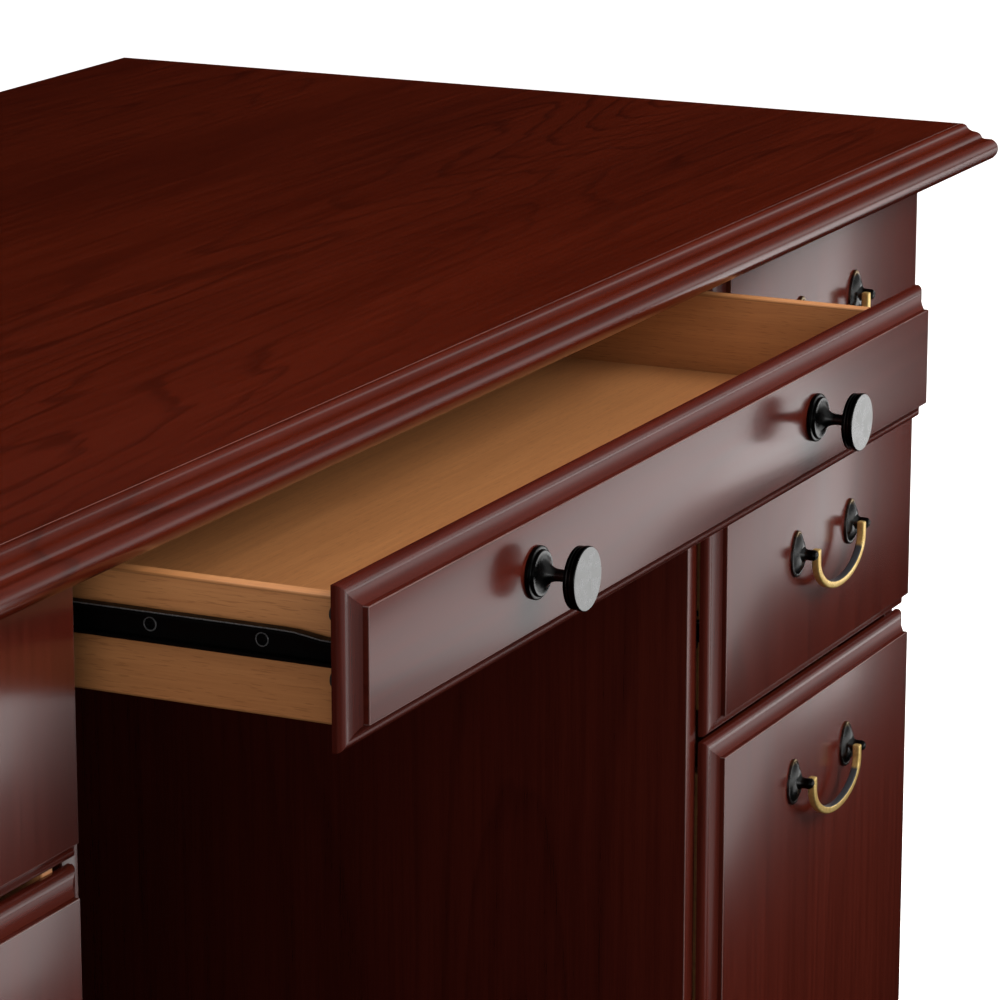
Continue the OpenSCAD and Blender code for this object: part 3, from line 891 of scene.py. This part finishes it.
def make_bail(side, tier):
    """A square bar bent to a half ellipse, rubbed bright in front and outside, with a pin on each leg."""
    front_low, front_high = box_mm(f"{side}_{tier}_drawer_front")
    centre = Vector(((front_low.x + front_high.x) / 2, front_low.y - PIVOT_OUT, front_high.z - PULL_DROP))
    section = soft_square(BAIL_T, 1.3)
    path = bail_path()
    middles = [centre + X * x + Z * z for (x, z), _ in path]
    rings = []
    rubs = []
    for i, middle in enumerate(middles):
        along = (middles[min(i + 1, len(path) - 1)] - middles[max(i - 1, 0)]).normalized()
        outward = along.cross(Y)
        rings.append([middle + (outward * u + Y * v) * path[i][1] for u, v in section])
        rubs.append([bail_rub(u, v, outward) for u, v in section])
    bm = new_mesh()
    layer = bm.verts.layers.float["rub"]
    for ring, values in zip(loft(bm, rings), rubs):
        for vert, value in zip(ring, values):
            vert[layer] = max(0.0, min(1.0, value))
    reach = POST_GAP / 2 - PIN_END
    for way in (-1, 1):
        pin = [(PIN_R, LEG_X - 0.6), (PIN_R, reach - 0.4), (PIN_R - 0.4, reach)]
        lathe(bm, centre, X * way, pin, 0, 28)
    node = f"{side}_{tier}_bail"
    make_piece(bm, f"{node}_bar", f"{node}_pull", [MAT["brass"]], [node])


# ---- assembly

def make_centre_drawer():
    make_front("centre_drawer_front", "centre_drawer", "front_x")
    low = box_mm("centre_drawer_left_side")[0]
    high = box_mm("centre_drawer_right_side")[1]
    nodes = ["centre_drawer_left_side", "centre_drawer_right_side", "centre_drawer_back"]
    make_box("centre_drawer_boards", "centre_drawer", nodes, low, high)
    make_bottom("centre_drawer_bottom", "centre_drawer")
    make_drawer_runners("centre_runners", "centre_drawer")
    make_knobs()
    make_bumpers()


def make_pedestal_drawer(side, tier):
    body = f"{side}_{tier}_drawer"
    make_front(f"{body}_front", body, "front_z")
    low, high = box_mm(f"{body}_box")
    make_box(f"{body}_boards", body, [f"{body}_box"], low, high)
    make_bottom(f"{body}_bottom", body)
    make_drawer_runners(f"{side}_{tier}_runners", body)
    make_plates(side, tier)
    make_bail(side, tier)


make_top()
make_mouldings()
make_carcass()
make_glides()
make_fastenings()
make_cabinet_runners()
make_centre_drawer()
for desk_side in SIDES:
    for desk_tier in TIERS:
        make_pedestal_drawer(desk_side, desk_tier)


# ---- stage

FLOOR_HALF = 14.0
CAMERA_AT = (-2.3665, -1.4494, 1.3416)
CAMERA_YAW = 0.4513
CAMERA_PITCH = -0.2522
CAMERA_LENS = 165.23
CARD_Z = 0.02
CARD_TURN = -21.2


def make_floor():
    bm = bmesh.new()
    signs = ((-1, -1), (1, -1), (1, 1), (-1, 1))
    bm.faces.new([bm.verts.new((x * FLOOR_HALF, y * FLOOR_HALF, 0)) for x, y in signs])
    mesh = bpy.data.meshes.new("floor")
    bm.to_mesh(mesh)
    bm.free()
    mesh.materials.append(pale_floor())
    floor = bpy.data.objects.new("floor", mesh)
    bpy.context.scene.collection.objects.link(floor)
    floor.visible_glossy = False
    floor.visible_diffuse = False


def make_light(name, at, aim, width, height, radiance, is_mirrored=False):
    """A soft rectangular light of a given brightness. The camera never sees it, and glossy surfaces
    mirror it only if is_mirrored."""
    data = bpy.data.lights.new(name, "AREA")
    data.shape = "RECTANGLE"
    data.size = width
    data.size_y = height
    data.energy = radiance * math.pi * width * height
    light = bpy.data.objects.new(name, data)
    light.location = at
    light.rotation_euler = (Vector(aim) - Vector(at)).to_track_quat("-Z", "Y").to_euler()
    light.visible_camera = False
    light.visible_glossy = is_mirrored
    bpy.context.scene.collection.objects.link(light)
    return light


def make_card(name, x, y, turn, width, depth, radiance):
    """A bright card that lies on the floor, turned in degrees, which the glossy fronts mirror."""
    card = make_light(name, (x, y, CARD_Z), (x, y, 1.0), width, depth, radiance, True)
    card.rotation_euler = (math.pi, 0, math.radians(turn))


def make_world():
    """White behind the desk for the camera. Other rays meet light from the front half of the sky, of which
    glossy surfaces mirror little but its lowest band."""
    world = bpy.data.worlds.new("studio")
    bpy.context.scene.world = world
    world.use_nodes = True
    tree = world.node_tree
    background = tree.nodes["Background"]
    way = add(tree, "ShaderNodeTexCoord").outputs["Generated"]
    parts = add(tree, "ShaderNodeSeparateXYZ", {0: way}).outputs
    front = fade(tree, parts["Y"], -0.45, 0.15, 0.9, 0.0)
    above = fade(tree, parts["Z"], -0.06, 0.06)
    low = fade(tree, parts["Z"], 0.1, 0.3, 1.0, 0.12)
    ray = add(tree, "ShaderNodeLightPath").outputs
    not_glossy = math_node(tree, "SUBTRACT", 1.0, ray["Is Glossy Ray"])
    seen_share = math_node(tree, "MAXIMUM", low, not_glossy)
    sky = math_node(tree, "MULTIPLY", math_node(tree, "MULTIPLY", front, above), seen_share)
    strength = math_node(tree, "MAXIMUM", sky, ray["Is Camera Ray"])
    put(background.inputs["Color"], (1, 1, 1, 1))
    put(background.inputs["Strength"], strength)


def make_camera():
    data = bpy.data.cameras.new("camera")
    data.sensor_width = 36
    data.lens = CAMERA_LENS
    data.clip_end = 60
    camera = bpy.data.objects.new("camera", data)
    level = math.cos(CAMERA_PITCH)
    ahead = Vector((level * math.cos(CAMERA_YAW), level * math.sin(CAMERA_YAW), math.sin(CAMERA_PITCH)))
    camera.location = CAMERA_AT
    camera.rotation_euler = ahead.to_track_quat("-Z", "Y").to_euler()
    bpy.context.scene.collection.objects.link(camera)
    bpy.context.scene.camera = camera


make_floor()
make_light("overhead_front", (1.5, -0.7, 3.2), (0.6, -0.3, 0.7), 3.2, 2.4, 1.6)
make_light("overhead_back", (1.8, 1.2, 3.2), (0.7, 0.2, 0.7), 3.2, 2.4, 2.1)
make_light("front_key", (0.8, -3.4, 2.6), (0.2, -0.3, 0.5), 3.0, 1.8, 8.8)
make_light("left_fill", (-3.3, -1.0, 0.5), (0, -0.3, 0.5), 2.2, 0.95, 3.0)
make_light("back_fill", (1.2, 4.2, 2.6), (0, 0, 0.5), 2.4, 1.6, 1.4)
make_card("far_card", 6.70, -2.76, CARD_TURN, 9.7, 0.47, 2.3)
make_card("low_card", 5.774, -3.759, CARD_TURN, 10.7, 1.95, 1.7)
make_card("near_card", 0.64, -1.80, CARD_TURN, 1.0, 1.9, 0.6)
make_card("front_card", -0.9, -3.4, 0.0, 3.0, 1.8, 0.5)
make_world()
make_camera()
bpy.context.scene.view_settings.view_transform = "Standard"
